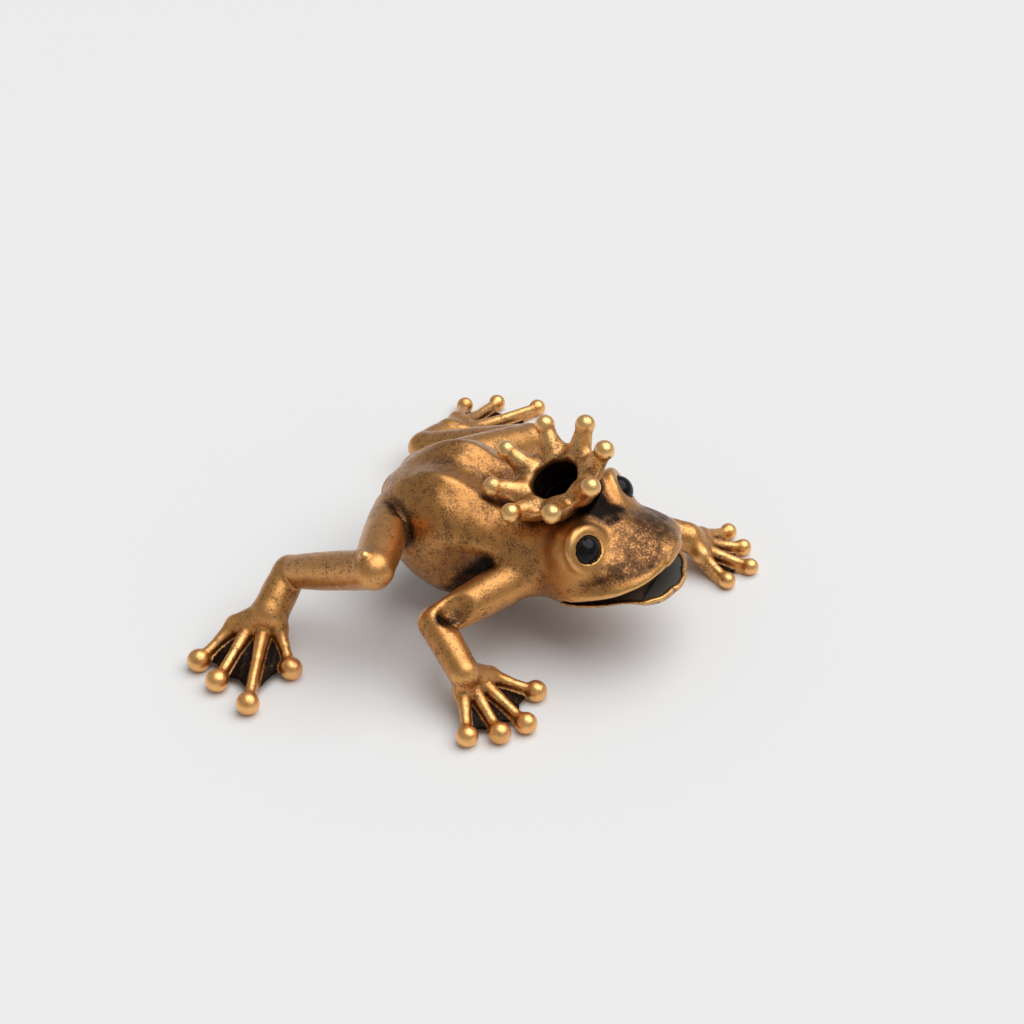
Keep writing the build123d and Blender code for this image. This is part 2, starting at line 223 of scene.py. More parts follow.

# Dark patina and painted shade: how much was left on each region, and lines darkened, some with patina and
# some with painted shade
LIMB_PATINA = 0.40
LIMB_FADE = 6.0
BACK_PATINA = 0.48
CROWN_PATINA = 0.5
HEAD_PATINA = 0.54
# Painted shade: how dark the underside of the belly is painted
BELLY_PAINTED_SHADE = 0.95
# Painted shade in the crease where a hind leg meets the flank: its level, reach and fullness
HIP_PAINTED_SHADE = 0.8
HIP_REACH = 4.0
HIP_SHADE_FULLNESS = 1.2
HEAD_BACK_Y = 14.0
HEAD_FADE = 6.0
# How high the painted shade under the belly reaches, how it fades, and where it stops towards the front
BELLY_RISE = 4.0
BELLY_FADE = 4.0
BELLY_FRONT_Y = 6.0
BELLY_FRONT_FADE = 8.0
SEAM_PATINA = 0.95
WEB_EDGE = 0.7
STAIN_AND_SHADE_MARGIN = 1.0
DARK_LINES = (
    # These two: painted shadow under the crown's front rim between the eyes, fading into dark brown patina
    DarkLine((-8.0, 11.0, 41.5), (4.0, 4.0, 42.0), 3.0, 10.0, 1.1),
    DarkLine((-6.0, 6.0, 42.0), (-1.0, 2.0, 42.0), 2.0, 8.0, 1.0),
    DarkLine((-10.0, -2.0, 38.5), (2.0, -4.0, 40.0), 2.0, 8.0, 0.7),
    # These two: painted shade in the hollows behind the arms
    DarkLine((-17.0, 32.0, 27.0), (-17.0, 43.0, 14.0), 2.0, 9.5, 0.96),
    DarkLine((17.0, 32.0, 27.0), (17.0, 43.0, 14.0), 2.0, 9.5, 0.96),
    DarkLine((0.0, 56.0, 45.5), (0.0, 41.0, 43.0), 1.0, 6.0, 0.70),
    DarkLine((-14.5, 64.5, 38.5), (-19.5, 60.0, 38.0), 1.0, 4.0, 0.9),
    DarkLine((14.5, 63.5, 38.0), (19.5, 59.0, 37.0), 1.0, 4.0, 0.9),
    DarkLine((-39.0, 37.0, 22.0), (-36.0, 35.0, 21.0), 1.5, 5.0, 1.0),
    DarkLine((30.0, 6.5, 18.0), (30.0, 4.0, 17.5), 1.5, 4.5, 0.9),
    DarkLine((-8.0, -10.0, 36.0), (6.0, -8.0, 37.5), 4.0, 13.0, 0.84),
    DarkLine((-19.0, 2.0, 33.0), (-12.0, -9.0, 34.0), 2.0, 8.0, 0.84),
    DarkLine((19.0, 2.0, 33.0), (12.0, -9.0, 34.0), 2.0, 8.0, 0.84),
)
# Painted shade around the crown's foot and in its bore, and the fade of the patina between its points
CROWN_FOOT_SHADE = 1.3
CROWN_FOOT_SHADE_REACH = 2.6
CROWN_STAIN_FADE = 3.0
BORE_SHADE_FADE = 0.6
BORE_SHADE_BELOW_RIM = 1.4
BORE_SHADE_AT_RIM = 0.3
# Painted shade inside the mouth: how deep within the head it starts, and how high towards the upper lip it
# reaches
MOUTH_SHADE_DEPTH = 1.4
MOUTH_SHADE_HEIGHT = 0.3

# Where the bronze was rubbed bright: how far from a form it starts to darken, and over what distance
BROW_RUB = (0.3, 4.0)
LIP_RUB = (0.4, 1.6)
LIP_RUB_HEIGHT = 1.2
TOE_RUB = (0.0, 2.0)
TOE_SIDE_RUB = (-0.16, 0.8)

# Relief that the finish follows: how far out a hollow is felt, with its weight, and how far aside a ridge is
HOLLOW_REACHES = ((1.2, 0.3), (2.5, 0.35), (5.0, 0.35))
RIDGE_REACH = 1.6
NEARLY_UPRIGHT = 0.9

# Fits between the castings
SKIN_STEP = 0.04
LEG_ROOT_DEPTH = 1.5
SHOULDER_REACH = 1.0
SHOULDER_SINK = 0.5
WELD_REACH = 1.4
WELD_DEPTH = 0.55
WELD_WIDTH = 0.5
WELD_BEADS = 3.4
WELD_BEAD_SHARE = 0.25
WELD_NEAR = 3.0
HIP_BACK_Y = 67.0
HIP_BACK_FADE = 4.0

# Legs and feet
FORELEG_JOINTS = 3
BALL_FLAT_DEPTH = 0.35
TOE_RADIUS = 1.55
TOE_DEPTH = 2.8
KNUCKLE_RADIUS = 2.7
KNUCKLE_SHARE = 0.4
PALM_SHARE = 0.85
PALM_FILLET = 1.0
TOE_FILLET = 0.8
WRIST_FILLET = 1.5
WEB_FILLET = 0.6
LEG_UNEVENNESS = 0.08
WEB_REACH = 0.8
WEB_HOLLOW = 0.12
WEB_THICKNESS = 1.4
WEB_DROP = 1.9
LEG_MARGIN = 15.0
LOWER_SWELL = 0.3
JOINT_FILLET = 1.0
ELBOW_HOLLOW_INWARDS = 6.0
ELBOW_HOLLOW_ABOVE = 6.0
ELBOW_HOLLOW_RADIUS = 4.6
ELBOW_HOLLOW_EDGE = 2.5
KNEE_STUB_RADIUS = 1.7
KNEE_STUB_FILLET = 0.8

LEGS = {
    "right_hind_leg": Leg(
        joints=((-9.0, 65.6, 30.5), (-43.2, 56.0, 37.2), (-33.5, 87.0, 19.5), (-44.5, 88.5, 12.0)),
        radii=(5.7, 5.7, 4.8, 5.2),
        swell=0.7,
        stub=(-44.3, 58.0, 42.2),
        knuckles=((-48.9, 97.4, 8.6), (-45.7, 85.0, 8.6)),
        toes=((-61.2, 103.0), (-67.0, 94.4), (-72.5, 82.1), (-54.4, 77.4)),
        toe_ball=3.4,
        fillet=1.5,
    ),
    "left_hind_leg": Leg(
        joints=((9.0, 63.5, 31.0), (43.0, 44.5, 25.0), (48.5, 81.5, 8.5), (61.0, 78.5, 7.0)),
        radii=(7.4, 5.6, 4.6, 3.8),
        swell=0.8,
        knuckles=((69.2, 79.4, 5.4), (63.5, 70.6, 6.0)),
        toes=((81.0, 81.9), (86.3, 73.3), (88.7, 60.7), (73.0, 54.0)),
        toe_ball=2.6,
        fillet=1.5,
    ),
    "right_foreleg": Leg(
        joints=((-8.7, 19.3, 25.4), (-37.4, 40.2, 18.6), (-47.8, 27.2, 13.0)),
        radii=(6.6, 4.8, 4.2),
        swell=0.3,
        knuckles=((-50.2, 26.4, 7.6), (-40.6, 22.4, 7.6)),
        toes=((-61.4, 20.4), (-56.8, 12.5), (-50.2, 7.4), (-36.6, 10.0)),
        toe_ball=3.2,
        fillet=3.0,
    ),
    "left_foreleg": Leg(
        joints=((7.8, 24.8, 26.2), (31.0, 10.0, 13.5), (36.8, -8.0, 9.5)),
        radii=(6.6, 4.9, 4.2),
        swell=0.3,
        knuckles=((42.6, -10.2, 6.4), (34.2, -13.4, 6.4)),
        toes=((52.6, -15.3), (47.1, -21.9), (39.4, -26.8), (30.7, -22.8)),
        toe_ball=2.6,
        fillet=3.0,
    ),
}
TIPS = np.array([(x, y, leg.toe_ball) for leg in LEGS.values() for x, y in leg.toes])
FLOOR_LOW = (TIPS[:, :2] - TIPS[:, 2:]).min(0)
FLOOR_HIGH = (TIPS[:, :2] + TIPS[:, 2:]).max(0)
FLOOR_CENTRE = np.array([*(FLOOR_LOW + FLOOR_HIGH) / 2, 0.0])
PART_BOX = np.array([list(corner) for corner in cad_box]) / MM + FLOOR_CENTRE

STRETCH = 1.0
BODY_STEP = 0.45 * STRETCH
LEG_STEP = 0.4 * STRETCH
CROWN_STEP = 0.3 * STRETCH
COARSE = 4
NEAR_SKIN = 3.5
GRID_MARGIN = 3.0
EASE_ROUNDS = 3
EASE_PULLS = (0.5, -0.52)


def length(vectors):
    return np.sqrt(np.einsum("ij,ij->i", vectors, vectors))


def unit(vector):
    return vector / np.linalg.norm(vector)


def blend(one, two, reach):
    """Union of two forms with a fillet."""
    overlap = np.maximum(reach - np.abs(one - two), 0) / reach
    return np.minimum(one, two) - overlap * overlap * reach / 4


def common(one, two, reach):
    """What lies in both forms, with a rounded edge."""
    return -blend(-one, -two, reach)


def carve(one, two, reach):
    """One form less another, with a rounded edge."""
    return -blend(-one, two, reach)


def ball(p, centre, radius):
    return length(p - centre) - radius


def limb(p, start, end, start_radius, end_radius, swell=0.0):
    """Tapered round limb, fuller in its middle by its swell."""
    run = end - start
    share = np.clip((p - start) @ run / (run @ run), 0, 1)
    radius = start_radius + share * (end_radius - start_radius) + 4 * swell * share * (1 - share)
    return length(p - start - share[:, None] * run) - radius


def fin(p, root, tip, radius, depth):
    """Toe that is narrow above and reaches straight down."""
    run = tip - root
    level = run * (1, 1, 0)
    share = np.clip((p - root) @ level / (level @ level), 0, 1)
    away = p - root - share[:, None] * run
    away[:, 2] += np.clip(-away[:, 2], 0, depth)
    return length(away) - radius


def plate(p, corners, thickness):
    """Three-cornered skin with round edges."""
    normal = unit(np.cross(corners[1] - corners[0], corners[2] - corners[0]))
    over = np.ones(len(p), bool)
    edge = np.full(len(p), np.inf)
    for one, two in zip(corners, np.roll(corners, -1, axis=0)):
        run = two - one
        share = np.clip((p - one) @ run / (run @ run), 0, 1)
        edge = np.minimum(edge, length(p - one - share[:, None] * run))
        over &= (p - one) @ np.cross(normal, run) >= 0
    return np.where(over, np.abs((p - corners[0]) @ normal), edge) - thickness / 2


def brow(p, rim, gaze):
    """Mound that an eye is set into."""
    return ball(p, rim - gaze * BROW_SINK, BROW_RADIUS)


def lid(p, rim, gaze):
    """Fold around an eye, fullest above it."""
    centre = rim - gaze * LID_SINK
    along = (p - centre) @ gaze
    away = length(p - centre - along[:, None] * gaze)
    upwards = unit(np.array([0, 0, 1.0]) - gaze[2] * gaze)
    above = ((p - centre) @ upwards) / np.maximum(away, LID_MIDDLE)
    return np.hypot(away - LID_RADIUS, along) - LID_THICKNESS / 2 * (1 + above) / 2


def soft(size, softness):
    """A size without its crease at nought."""
    return np.sqrt(size * size + softness * softness) - softness


def lumps(p):
    """Slow unevenness of a form modelled by hand."""
    one, two, three = np.sin(LUMP_WAVES @ p.T)
    return (one * two + three) / 2


def section_values(y, sections):
    """The sections' values at each y, eased between the named sections."""
    named = np.array(sections)
    stations = named[:, 0]
    slopes = np.gradient(named, stations, axis=0)
    index = np.clip(np.searchsorted(stations, y) - 1, 0, len(stations) - 2)
    gap = (stations[index + 1] - stations[index])[:, None]
    share = np.clip((y - stations[index])[:, None] / gap, 0, 1)
    step = named[index + 1] - named[index]
    start, end = slopes[index] * gap, slopes[index + 1] * gap
    bend = 3 * step - 2 * start - end + share * (start + end - 2 * step)
    return (named[index] + share * (start + share * bend)).T


def armpit(p):
    """One in the hollows behind the arms, and nought away from them."""
    return np.exp(-((p[:, 1] - ARMPIT_Y) ** 2 + (p[:, 2] - ARMPIT_HEIGHT) ** 2) / ARMPIT_REACH**2)


def trunk_outline(p, sections):
    """Measure that is nought on the trunk's skin, and grows outwards."""
    x, y, z = p.T
    _, half_width, top, widest, underside, groove, roof = section_values(y, sections)
    height = z - widest
    reach = np.where(height > 0, top - widest, widest - underside)
    rise = np.clip(height / reach, 0, 1)
    valley = np.exp(-((FOLD_SHARPNESS * x / GROOVE_HALF_WIDTH) ** 2))
    ridge = np.exp(-((FOLD_SHARPNESS * (np.abs(x) - RIDGE_ASIDE) / RIDGE_HALF_WIDTH) ** 2))
    height = height + groove * rise * (valley - RIDGE_SHARE * ridge)
    half_width = half_width * (1 - ARMPIT_SHARE * armpit(p))
    power = np.where(height > 0, 2 / roof, BELLY_POWER)
    wide, high = soft(x / half_width, OUTLINE_SOFTNESS), soft(height / reach, OUTLINE_SOFTNESS)
    outline = (wide**power + high**power) ** (1 / power)
    beyond = np.maximum(y - sections[-1].y, 0) / TAIL_ROUND + np.maximum(sections[0].y - y, 0) / LIP_ROUND
    return (np.hypot(outline, beyond) - OUTLINE_LEVEL) * OUTLINE_SCALE


def trunk(p, sections=TRUNK, rounds=1):
    """Distance to the trunk and head, without brows or mouth. More rounds keep offsets of it even."""
    spot, total = p, np.zeros(len(p))
    for _ in range(rounds):
        here = trunk_outline(spot, sections)
        rises = [trunk_outline(spot + SLOPE_STEP * axis, sections) - here for axis in np.eye(3)]
        slope = np.stack(rises, axis=1) / SLOPE_STEP
        steepness = np.maximum(length(slope), LEAST_SLOPE)
        total = total + here / steepness
        spot = spot - (here / steepness**2)[:, None] * slope
    # Far away the outline understates the distance, so it is never less than that to a round core
    return np.maximum(total, limb(p, *TRUNK_AXIS, TRUNK_REACH, TRUNK_REACH))


def above_lip(p, corner, slope, curve):
    """Height above a lip that rises from the mouth's corners towards the nose."""
    ahead = np.maximum(MOUTH_CORNER_Y - p[:, 1], 0)
    height = p[:, 2] - corner - slope * ahead - curve * ahead * ahead
    return height / np.hypot(1, slope + 2 * curve * ahead)


def above_upper_lip(p):
    return above_lip(p, UPPER_LIP_CORNER, UPPER_LIP_SLOPE, UPPER_LIP_CURVE)


CROWN_AXES = np.array(Matrix.Rotation(-CROWN_TILT, 3, "X") @ Matrix.Rotation(-CROWN_TILT, 3, "Y"))
CROWN_SEAT = CROWN_RING_CENTRE - CROWN_HEIGHT * CROWN_AXES[:, 2]
EYES = {
    "right_eye": (RIGHT_EYE_RIM, unit(RIGHT_EYE_GAZE)),
    "left_eye": (LEFT_EYE_RIM, unit(LEFT_EYE_GAZE)),
}


def around_crown(p):
    """Distance from the crown's axis, and height above its seat."""
    u, v, h = ((p - CROWN_SEAT) @ CROWN_AXES).T
    return np.hypot(u, v), h


def toe_lines(leg):
    """Each toe's knuckle and the middle of its ball."""
    first, last = np.array(leg.knuckles)
    tips = [np.array([x, y, leg.toe_ball - BALL_FLAT_DEPTH]) for x, y in leg.toes]
    return [(first + (last - first) * share, tip) for share, tip in zip(np.linspace(0, 1, len(tips)), tips)]


def palm_and_toes(p, leg):
    """Palm that fans out to its knuckles, and toes with balls."""
    palm = np.array(leg.joints[-1])
    form = np.full(len(p), np.inf)
    for knuckle, tip in toe_lines(leg):
        form = blend(form, limb(p, palm, knuckle, leg.radii[-1] * PALM_SHARE, KNUCKLE_RADIUS), PALM_FILLET)
        narrow = knuckle + (tip - knuckle) * KNUCKLE_SHARE
        form = blend(form, limb(p, knuckle, narrow, KNUCKLE_RADIUS, TOE_RADIUS), PALM_FILLET)
    for knuckle, tip in toe_lines(leg):
        form = blend(form, fin(p, knuckle, tip, TOE_RADIUS, TOE_DEPTH), TOE_FILLET)
        form = blend(form, ball(p, tip, leg.toe_ball), TOE_FILLET)
    return form


def webs(p, leg):
    """Sunken skins between the toes."""
    drop = np.array([0, 0, WEB_DROP])
    form = np.full(len(p), np.inf)
    toes = toe_lines(leg)
    for (one, one_tip), (other, other_tip) in zip(toes, toes[1:]):
        one_end = one + (one_tip - one) * WEB_REACH
        other_end = other + (other_tip - other) * WEB_REACH
        root, edge = (one + other) / 2, (one_end + other_end) / 2
        hollow = edge + (root - edge) * WEB_HOLLOW
        for fold in ((one, one_end, hollow), (other, other_end, hollow), (one, other, hollow)):
            form = np.minimum(form, plate(p, np.array(fold) - drop, WEB_THICKNESS))
    return form


def is_foreleg(leg):
    return len(leg.joints) == FORELEG_JOINTS


def elbow_hollow(leg):
    """Middle of the hollow above the inside of an elbow."""
    shoulder, elbow, wrist = np.array(leg.joints)
    inwards = unit(unit(shoulder - elbow) + unit(wrist - elbow))
    return elbow + inwards * ELBOW_HOLLOW_INWARDS + np.array([0, 0, ELBOW_HOLLOW_ABOVE])


def leg_form(p, leg):
    """A whole leg, without its root's fillet, worked out only where it is near."""
    joints = np.array(leg.joints)
    spots = np.vstack([joints, [(x, y, 0) for x, y in leg.toes]])
    near = np.all((p > spots.min(0) - LEG_MARGIN) & (p < spots.max(0) + LEG_MARGIN), axis=1)
    p = p[near]
    form = np.full(len(p), np.inf)
    swells = (leg.swell, *[LOWER_SWELL] * (len(joints) - 2))
    for bone in zip(joints, joints[1:], leg.radii, leg.radii[1:], swells):
        form = blend(form, limb(p, *bone), JOINT_FILLET)
    if is_foreleg(leg):
        form = carve(form, ball(p, elbow_hollow(leg), ELBOW_HOLLOW_RADIUS), ELBOW_HOLLOW_EDGE)
    if leg.stub:
        form = blend(form, ball(p, np.array(leg.stub), KNEE_STUB_RADIUS), KNEE_STUB_FILLET)
    form = blend(blend(form, palm_and_toes(p, leg), WRIST_FILLET), webs(p, leg), WEB_FILLET)
    everywhere = np.full(len(near), LEG_MARGIN)
    everywhere[near] = np.maximum(form + LEG_UNEVENNESS * lumps(p), -p[:, 2])
    return everywhere


def crown_form(p):
    """Thick ring that flares into stout points, each with a ball."""
    local = (p - CROWN_SEAT) @ CROWN_AXES
    r, h = around_crown(p)
    flare = (CROWN_RIM_RADIUS - CROWN_BASE_RADIUS) * np.clip(h / CROWN_RIM_HEIGHT, 0, 1) ** CROWN_FLARE_POWER
    form = common(r - CROWN_BASE_RADIUS - flare, h - CROWN_RIM_HEIGHT, CROWN_RIM_EDGE)
    turns = [CROWN_TURN + 2 * pi * step / CROWN_POINTS for step in range(CROWN_POINTS)]
    outwards = [np.array([cos(turn), sin(turn), 0.0]) for turn in turns]
    roots = [np.array([0, 0, CROWN_POINT_ROOT[1]]) + out * CROWN_POINT_ROOT[0] for out in outwards]
    tips = [np.array([0, 0, CROWN_HEIGHT]) + out * CROWN_RING_RADIUS for out in outwards]
    for root, tip in zip(roots, tips):
        form = blend(form, limb(local, root, tip, CROWN_ROOT_RADIUS, CROWN_NECK_RADIUS), CROWN_POINT_FILLET)
    form = common(common(form, CROWN_BORE_RADIUS - r, CROWN_BORE_EDGE), -h, CROWN_FOOT_EDGE)
    for tip in tips:
        form = blend(form, ball(local, tip, CROWN_BALL_RADIUS), CROWN_BALL_FILLET)
    return form


def skull(p):
    """Trunk with its lip, brows, lids and crown boss, before anything is cut from it."""
    form = trunk(p) + BODY_UNEVENNESS * lumps(p)
    bead = np.exp(-(((above_upper_lip(p) - LIP_BEAD_HEIGHT) / LIP_BEAD_WIDTH) ** 2))
    form = form - LIP_BEAD * bead * np.clip((MOUTH_CORNER_Y - p[:, 1]) / LIP_BEAD_FADE, 0, 1)
    for rim, gaze in EYES.values():
        form = blend(form, brow(p, rim, gaze), BROW_FILLET)
        form = blend(form, lid(p, rim, gaze), LID_FILLET)
    r, h = around_crown(p)
    half_depth = CROWN_BOSS_DEPTH / 2
    boss = np.maximum(r - CROWN_BOSS_RADIUS, np.abs(h + half_depth) - half_depth)
    return blend(form, boss, CROWN_BOSS_FILLET)


def hip_front(p):
    """One on the front of the hips, and nought behind them."""
    return np.clip((HIP_BACK_Y - p[:, 1]) / HIP_BACK_FADE, 0, 1)


def seam(p, base, own, leg):
    """One along the line where a hind leg is welded to the trunk, and nought away from it."""
    if is_foreleg(leg):
        return np.zeros(len(base))
    return hip_front(p) * np.exp(-(((base - WELD_REACH) / WELD_WIDTH) ** 2)) * (own < WELD_NEAR)


def weld(p, base, own, leg):
    """Beaded groove along a hind leg's seam."""
    ripple = 1 + WELD_BEAD_SHARE * (np.sin(WELD_BEADS * p[:, 2]) - 1)
    return WELD_DEPTH * seam(p, base, own, leg) * ripple


def body_form(p):
    """The body casting, with the fillets of the legs, cut for the mouth, the eyes and the crown."""
    base = skull(p)
    form = base
    for leg in LEGS.values():
        own = leg_form(p, leg)
        form = blend(form, own, leg.fillet) + weld(p, base, own, leg)
    # The legs' fillets end a little way out from the trunk, where the legs' own pieces go on
    form = form + SHOULDER_SINK * np.maximum(base - SHOULDER_REACH, 0)
    form = carve(form, np.maximum(above_upper_lip(p), p[:, 1] - MOUTH_CORNER_Y), LIP_EDGE)
    for rim, gaze in EYES.values():
        form = carve(form, ball(p, rim - gaze * EYE_SINK, EYE_RADIUS - SOCKET_OVERLAP), SOCKET_EDGE)
    r, h = around_crown(p)
    form = carve(form, np.maximum(r - CROWN_BASE_RADIUS, -h), CROWN_SEAT_EDGE)
    return carve(form, np.maximum(r - CROWN_BORE_RADIUS, -h - HEAD_BORE_DEPTH), HEAD_BORE_EDGE)


def jaw_outside(p):
    """Distance to the lower jaw's outside, as if it were whole."""
    return trunk(p, JAW, JAW_ROUNDS) - JAW_SWELL


def jaw_lining(p):
    """One on the lining let into the jaw's rim, and nought on its bronze."""
    return np.clip((-jaw_outside(p) - LINING_EDGE) / LINING_FADE, 0, 1) * (p[:, 2] > LINING_LOWEST)


def jaw_form(p):
    """The lower jaw: a rim, a lining let into its front, and a hollow behind that."""
    base = jaw_outside(p)
    above = above_lip(p, LOWER_LIP_CORNER, LOWER_LIP_SLOPE, LOWER_LIP_CURVE)
    form = common(base, above, LIP_EDGE)
    within = base + JAW_WALL
    form = carve(form, np.maximum(within, -above - LINING_DEPTH), JAW_HOLLOW_EDGE)
    hollow = np.maximum(within, -above - JAW_HOLLOW_DEPTH)
    form = carve(form, np.maximum(hollow, JAW_HOLLOW_FRONT_Y - p[:, 1]), JAW_HOLLOW_EDGE)
    return np.maximum(form, p[:, 1] - MOUTH_CORNER_Y - JAW_BEHIND_CORNER)


def leg_piece(name):
    """A leg's own form, from just under the body's skin."""
    leg = LEGS[name]

    def form(p):
        base, own = skull(p), leg_form(p, leg)
        whole = blend(base, own, leg.fillet) + weld(p, base, own, leg) + SKIN_STEP
        return np.maximum(np.maximum(whole, -base - LEG_ROOT_DEPTH), own - leg.fillet / 2)

    return form


def sampled(form, low, high, step):
    """A form on a grid, worked out fully only near its skin."""
    counts = np.ceil((high - low) / (step * COARSE)).astype(int) + 1
    rough = form(low + step * COARSE * np.argwhere(np.ones(counts))).reshape(counts)
    nearest = [(np.arange((count - 1) * COARSE + 1) + COARSE // 2) // COARSE for count in counts]
    field = rough[np.ix_(*nearest)]
    near = np.argwhere(np.abs(field) < NEAR_SKIN)
    field[tuple(near.T)] = form(low + step * near)
    return field


def skin(field, low, step):
    """Points and four-sided faces of the surface where a field on a grid is nought."""
    inside = field < 0
    size = np.array(field.shape) - 1
    corners = np.argwhere(np.ones((2, 2, 2)))
    filled = np.zeros(size, int)
    for i, j, k in corners:
        filled += inside[i : size[0] + i, j : size[1] + j, k : size[2] + k]
    cells = np.argwhere((filled > 0) & (filled < len(corners)))
    number = np.full(size, -1)
    number[tuple(cells.T)] = np.arange(len(cells))
    total = np.zeros((len(cells), 3))
    crossings = np.zeros(len(cells))
    for along in np.eye(3, dtype=int):
        for corner in corners[corners @ along == 0]:
            one = field[tuple((cells + corner).T)]
            two = field[tuple((cells + corner + along).T)]
            crossed = (one < 0) != (two < 0)
            share = one / np.where(crossed, one - two, 1)
            total += np.where(crossed[:, None], corner + share[:, None] * along, 0)
            crossings += crossed
    points = low + step * (cells + total / crossings[:, None])
    faces = []
    for axis in range(3):
        along, beside, above = np.roll(np.eye(3, dtype=int), -axis, axis=0)
        here = inside[tuple(np.where(along, slice(None, -1), slice(1, -1)))]
        ahead = inside[tuple(np.where(along, slice(1, None), slice(1, -1)))]
        edges = np.argwhere(here != ahead) + beside + above
        around = (edges - beside - above, edges - above, edges, edges - beside)
        quads = np.stack([number[tuple(cell.T)] for cell in around], axis=1)
        outwards = inside[tuple(edges.T)]
        faces.append(np.where(outwards[:, None], quads, quads[:, ::-1]))
    return points, np.vstack(faces)


def relaxed(points, faces):
    """Points eased towards their neighbours and back, which removes the grid's steps."""
    pairs = np.vstack([faces[:, [side, (side + 1) % 4]] for side in range(4)])
    counts = np.bincount(pairs[:, 0], minlength=len(points))
    for _ in range(EASE_ROUNDS):
        for pull in EASE_PULLS:
            means = [np.bincount(pairs[:, 0], points[pairs[:, 1], axis], len(points)) for axis in range(3)]
            points = points + pull * (np.stack(means, axis=1) / counts[:, None] - points)
    return points


def to_mesh(name, points, faces):
    """Mesh object in the part's own frame, in metres."""
    mesh = bpy.data.meshes.new(name)
    mesh.from_pydata((points - FLOOR_CENTRE) * MM, [], [tuple(face) for face in faces])
    mesh.shade_smooth()
    piece = bpy.data.objects.new(name, mesh)
    bpy.context.scene.collection.objects.link(piece)
    return piece


def whole_form(p):
    """Everything that shades the castings: frog, jaw and crown."""
    form = np.minimum(body_form(p), jaw_form(p))
    for leg in LEGS.values():
        form = np.minimum(form, leg_form(p, leg))
    return np.minimum(form, crown_form(p))


def rubbed(distance, start, reach):
    """Nought where a form was rubbed bright, up to one a reach past the start."""
    return np.clip((distance - start) / reach, 0, 1)


def leg_stain_and_shade(p, base, leg):
    """Darkening on a leg's webs, patina along a hind leg's seam, and painted shade in the crease between its
    thigh and the flank.
    """
    own = leg_form(p, leg)
    darkening = (webs(p, leg) < WEB_EDGE) * rubbed(palm_and_toes(p, leg), *TOE_SIDE_RUB)
    if is_foreleg(leg):
        return darkening
    # Painted shade in the crease between the flank and the thigh
    hip = np.clip(HIP_SHADE_FULLNESS - (np.abs(base) + np.abs(own)) / HIP_REACH, 0, 1)
    return np.maximum.reduce([darkening, SEAM_PATINA * seam(p, base, own, leg), HIP_PAINTED_SHADE * hip_front(p) * hip])


def crown_stain_and_shade(p):
    """Painted shade around the crown's foot and down its bore, and patina between its points."""
    r, h = around_crown(p)
    foot = np.clip(CROWN_FOOT_SHADE - np.hypot(r - CROWN_BASE_RADIUS, h) / CROWN_FOOT_SHADE_REACH, 0, 1)
    ring = CROWN_PATINA * (h > 0) * np.clip((CROWN_RIM_RADIUS + STAIN_AND_SHADE_MARGIN - r) / CROWN_STAIN_FADE, 0, 1)
    edge = np.where(h < CROWN_RIM_HEIGHT - CROWN_RIM_EDGE, BORE_SHADE_BELOW_RIM, BORE_SHADE_AT_RIM)
    bore = np.clip((CROWN_BORE_RADIUS + edge - r) / BORE_SHADE_FADE, 0, 1)
    bore = bore * (h > -HEAD_BORE_DEPTH - STAIN_AND_SHADE_MARGIN) * (h < CROWN_HEIGHT)
    return np.maximum.reduce([foot, ring, bore])


def mouth_shade(p):
    """Painted shade: one inside the mouth, and nought outside."""
    inside = (trunk(p, JAW) < -MOUTH_SHADE_DEPTH) & (above_upper_lip(p) < MOUTH_SHADE_HEIGHT)
    return 1.0 * (inside & (p[:, 1] < MOUTH_CORNER_Y + JAW_BEHIND_CORNER))


def patina_and_shade(p):
    """How dark the castings are painted, from nought to one: the patina left on, and painted shade under the
    belly, behind the arms, under the crown's front, in the hip creases, around the crown's foot, in its bore
    and inside the mouth.
    """
    y, z = p[:, 1], p[:, 2]
    base = skull(p)
    on_trunk = np.clip(1 - base / LIMB_FADE, 0, 1)
    head = np.clip((HEAD_BACK_Y - y) / HEAD_FADE, 0, 1)
    # Painted shade under the belly, darker towards the bottom and reaching higher behind the chest
    underside = Section(*section_values(y, TRUNK)).underside
    belly_top = underside + BELLY_RISE * np.clip((y - BELLY_FRONT_Y) / BELLY_FRONT_FADE, 0, 1)
    belly = np.clip((belly_top - z) / BELLY_FADE, 0, 1)
    level = BACK_PATINA + head * (HEAD_PATINA - BACK_PATINA)
    level = np.maximum(level, belly * BELLY_PAINTED_SHADE)
    amount = LIMB_PATINA + on_trunk * (level - LIMB_PATINA)
    for dark_line in DARK_LINES:
        away = limb(p, np.array(dark_line.start), np.array(dark_line.end), 0, 0)
        share = np.clip((dark_line.reach - away) / (dark_line.reach - dark_line.full), 0, 1)
        amount = np.maximum(amount, dark_line.level * share)
    for rim, gaze in EYES.values():
        amount = amount * rubbed(brow(p, rim, gaze), *BROW_RUB)
    lip = np.abs(above_upper_lip(p) - LIP_RUB_HEIGHT)
    amount = np.where(y < MOUTH_CORNER_Y, amount * rubbed(lip, *LIP_RUB), amount)
    for leg in LEGS.values():
        for _, tip in toe_lines(leg):
            amount = amount * rubbed(ball(p, tip, leg.toe_ball), *TOE_RUB)
        amount = np.maximum(amount, leg_stain_and_shade(p, base, leg))
    # Painted shade around the crown's foot, in its bore and inside the mouth, with the crown's patina
    # between its points
    return np.maximum.reduce([amount, crown_stain_and_shade(p), mouth_shade(p)])


def note(piece, name, values):
    piece.data.attributes.new(name, "FLOAT", "POINT").data.foreach_set("value", values.astype(np.float32))


